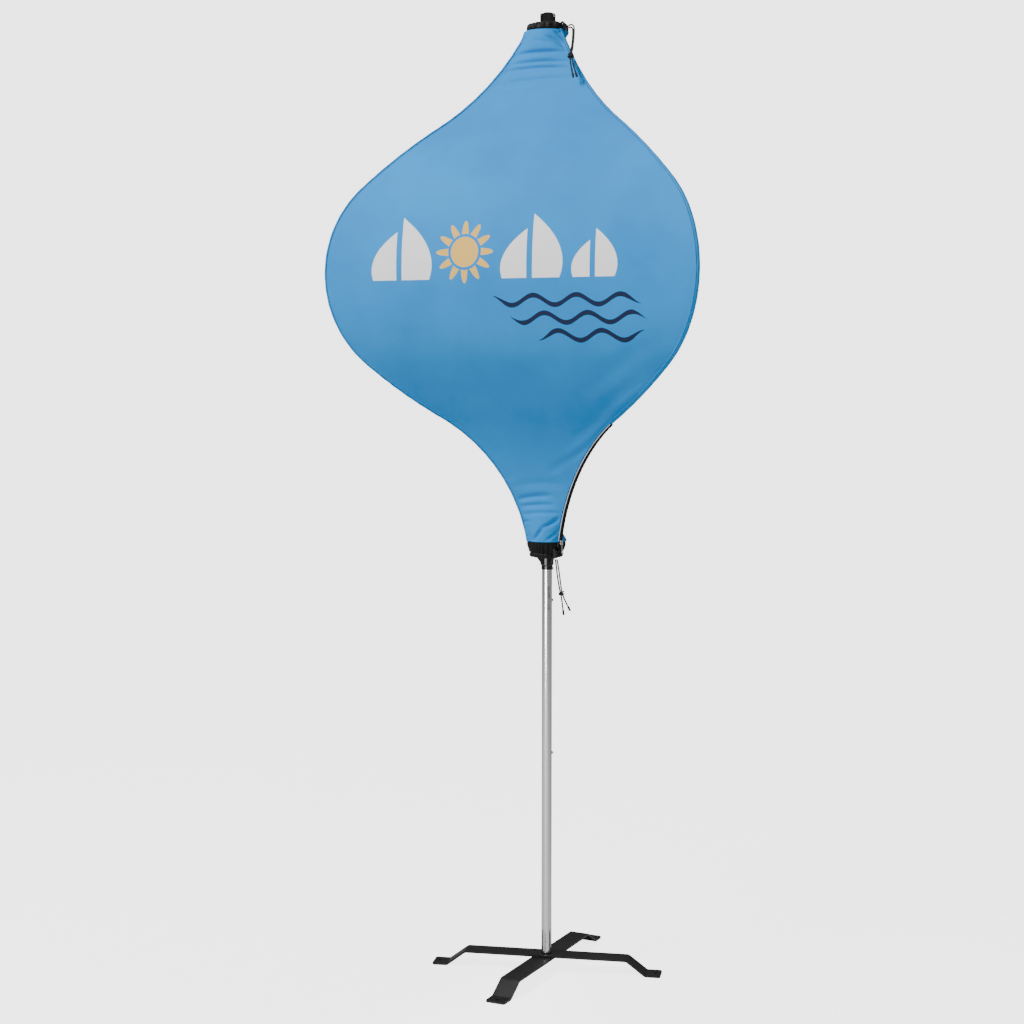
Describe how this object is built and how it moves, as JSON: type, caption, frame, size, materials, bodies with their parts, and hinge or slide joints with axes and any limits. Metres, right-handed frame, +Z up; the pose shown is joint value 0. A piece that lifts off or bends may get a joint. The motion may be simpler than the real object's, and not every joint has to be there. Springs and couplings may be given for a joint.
{
  "type": "lantern banner",
  "caption": "Three-sided blue lantern banner on three bowed ribs round an aluminium pole that turns on a folding cross base.",
  "frame": {"origin": "the pole's axis at floor level", "axes": "+Z up along the pole; the printed front panel faces -Y"},
  "size_m": [0.9266, 0.8194, 2.3311],
  "materials": {
    "bar_paint": "satin powder coat",
    "steel": "satin",
    "black_plastic": "gloss",
    "pole_aluminium": "polished",
    "glass_fibre": "satin",
    "blue_cloth": "woven polyester",
    "black_cloth": "woven polyester",
    "white_piping": "matt",
    "black_cord": "braided"
  },
  "bodies": {
    "base": {"base_bar_lower": "bar_paint", "spindle": "steel", "pivot_washer": "steel", "pivot_nut": "steel"},
    "mast": {"joint_spring": "steel", "stop_spring": "steel", "hub_spring": "steel", "top_hub_pin": "steel", "top_lock_spring": "steel", "bottom_lock_spring": "steel", "pole_foot_bush": "black_plastic", "spindle_top_bush": "black_plastic", "bottom_hub": "black_plastic", "top_hub": "black_plastic", "top_cap": "black_plastic", "top_lock_body": "black_plastic", "bottom_lock_body": "black_plastic", "zip_chain": "black_plastic", "pole_lower": "pole_aluminium", "pole_middle": "pole_aluminium", "pole_upper": "pole_aluminium", "pole_top": "pole_aluminium", "ferrule_lower": "pole_aluminium", "ferrule_middle": "pole_aluminium", "ferrule_upper": "pole_aluminium", "rib_a": "glass_fibre", "rib_b": "glass_fibre", "rib_c": "glass_fibre", "panel_front": "blue_cloth", "panel_left": "blue_cloth", "panel_right": "blue_cloth", "sleeve_a": "blue_cloth", "sleeve_b": "blue_cloth", "sleeve_c": "blue_cloth", "collar_top": "black_cloth", "collar_bottom": "black_cloth", "zip_tape": "black_cloth", "zip_piping": "white_piping", "top_cord_1": "black_cord", "top_cord_1_tip": "black_cord", "top_cord_2": "black_cord", "top_cord_2_tip": "black_cord", "top_cord_knot": "black_cord", "bottom_cord_1": "black_cord", "bottom_cord_1_tip": "black_cord", "bottom_cord_2": "black_cord", "bottom_cord_2_tip": "black_cord", "bottom_cord_knot": "black_cord"},
    "upper_leg": {"base_bar_upper": "bar_paint"},
    "joint_snap": {"joint_button": "steel"},
    "stop_snap": {"stop_button": "steel"},
    "hub_snap": {"hub_button": "steel"},
    "slider": {"zip_slider": "steel"},
    "pull": {"zip_pull": "steel"},
    "top_plunger": {"top_lock_plunger": "black_plastic"},
    "bottom_plunger": {"bottom_lock_plunger": "black_plastic"}
  },
  "joints": [
    {"name": "base_fold", "type": "hinge", "parent": "base", "child": "upper_leg", "pos_m": [0, 0, 0.0375], "axis": [0, 0, 1], "range_deg": [-89, 58]},
    {"name": "mast_spin", "type": "hinge", "parent": "base", "child": "mast", "pos_m": [0, 0, 0.12], "axis": [0, 0, 1], "continuous": true},
    {"name": "joint_button_press", "type": "slide", "parent": "mast", "child": "joint_snap", "axis": [-0.9212, -0.3891, 0], "range_m": [0, 0.0036], "stiffness_N_per_m": 900, "springref_m": -0.004},
    {"name": "stop_button_press", "type": "slide", "parent": "mast", "child": "stop_snap", "axis": [-0.9212, -0.3891, 0], "range_m": [0, 0.0036], "stiffness_N_per_m": 900, "springref_m": -0.004},
    {"name": "hub_button_press", "type": "slide", "parent": "mast", "child": "hub_snap", "axis": [-0.9212, -0.3891, 0], "range_m": [0, 0.0036], "stiffness_N_per_m": 900, "springref_m": -0.004},
    {"name": "zip_run", "type": "hinge", "parent": "mast", "child": "slider", "pos_m": [0.41447, -0.2393, 0.99198], "axis": [0.5, 0.866, 0], "range_deg": [0, 45.5]},
    {"name": "zip_pull_swing", "type": "hinge", "parent": "slider", "child": "pull", "pos_m": [0.0504, -0.0291, 1.06565], "axis": [-0.5, -0.866, 0], "range_deg": [0, 150]},
    {"name": "top_lock_press", "type": "slide", "parent": "mast", "child": "top_plunger", "axis": [0.4862, 0.0248, -0.8735], "range_m": [0, 0.004], "stiffness_N_per_m": 900, "springref_m": -0.004},
    {"name": "bottom_lock_press", "type": "slide", "parent": "mast", "child": "bottom_plunger", "axis": [0.2086, 0.1076, -0.9721], "range_m": [0, 0.004], "stiffness_N_per_m": 900, "springref_m": -0.004}
  ]
}
